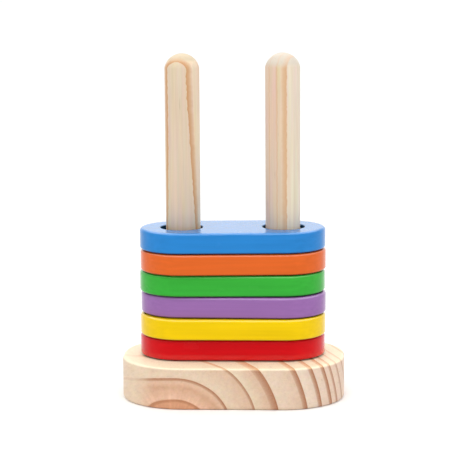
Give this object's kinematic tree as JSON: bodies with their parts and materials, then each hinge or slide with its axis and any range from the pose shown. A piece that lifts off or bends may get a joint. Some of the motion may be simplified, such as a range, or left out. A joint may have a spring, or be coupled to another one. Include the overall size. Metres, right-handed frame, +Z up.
{
  "type": "stacking tower puzzle",
  "caption": "Wooden stacking tower: a rounded pine base with two upright dome-topped posts and painted oblong plates, each with two holes, threaded down over both posts.",
  "frame": {"origin": "centre of the base's flat underside", "axes": "+Z up along the posts, +X from the left post to the right post, -Y towards the front long side"},
  "size_m": [0.134, 0.084, 0.2076],
  "materials": {
    "base_pine": "satin clear-lacquered pine, growth rings showing",
    "post_pine": "satin clear-lacquered pine dowel, grain along the post",
    "red_paint": "gloss lacquer paint on wood",
    "yellow_paint": "gloss lacquer paint on wood",
    "purple_paint": "gloss lacquer paint on wood",
    "green_paint": "gloss lacquer paint on wood",
    "orange_paint": "gloss lacquer paint on wood",
    "blue_paint": "gloss lacquer paint on wood"
  },
  "bodies": {
    "base": {"base": "base_pine", "left_post": "post_pine", "right_post": "post_pine"},
    "red_plate": {"red_plate": "red_paint"},
    "yellow_plate": {"yellow_plate": "yellow_paint"},
    "purple_plate": {"purple_plate": "purple_paint"},
    "green_plate": {"green_plate": "green_paint"},
    "orange_plate": {"orange_plate": "orange_paint"},
    "blue_plate": {"blue_plate": "blue_paint"}
  },
  "joints": [
    {"name": "red_plate_lift", "type": "slide", "parent": "base", "child": "red_plate", "axis": [0, 0, 1], "range_m": [0, 0.185]},
    {"name": "yellow_plate_lift", "type": "slide", "parent": "red_plate", "child": "yellow_plate", "axis": [0, 0, 1], "range_m": [0, 0.172]},
    {"name": "purple_plate_lift", "type": "slide", "parent": "yellow_plate", "child": "purple_plate", "axis": [0, 0, 1], "range_m": [0, 0.159]},
    {"name": "green_plate_lift", "type": "slide", "parent": "purple_plate", "child": "green_plate", "axis": [0, 0, 1], "range_m": [0, 0.146]},
    {"name": "orange_plate_lift", "type": "slide", "parent": "green_plate", "child": "orange_plate", "axis": [0, 0, 1], "range_m": [0, 0.133]},
    {"name": "blue_plate_lift", "type": "slide", "parent": "orange_plate", "child": "blue_plate", "axis": [0, 0, 1], "range_m": [0, 0.12]}
  ]
}
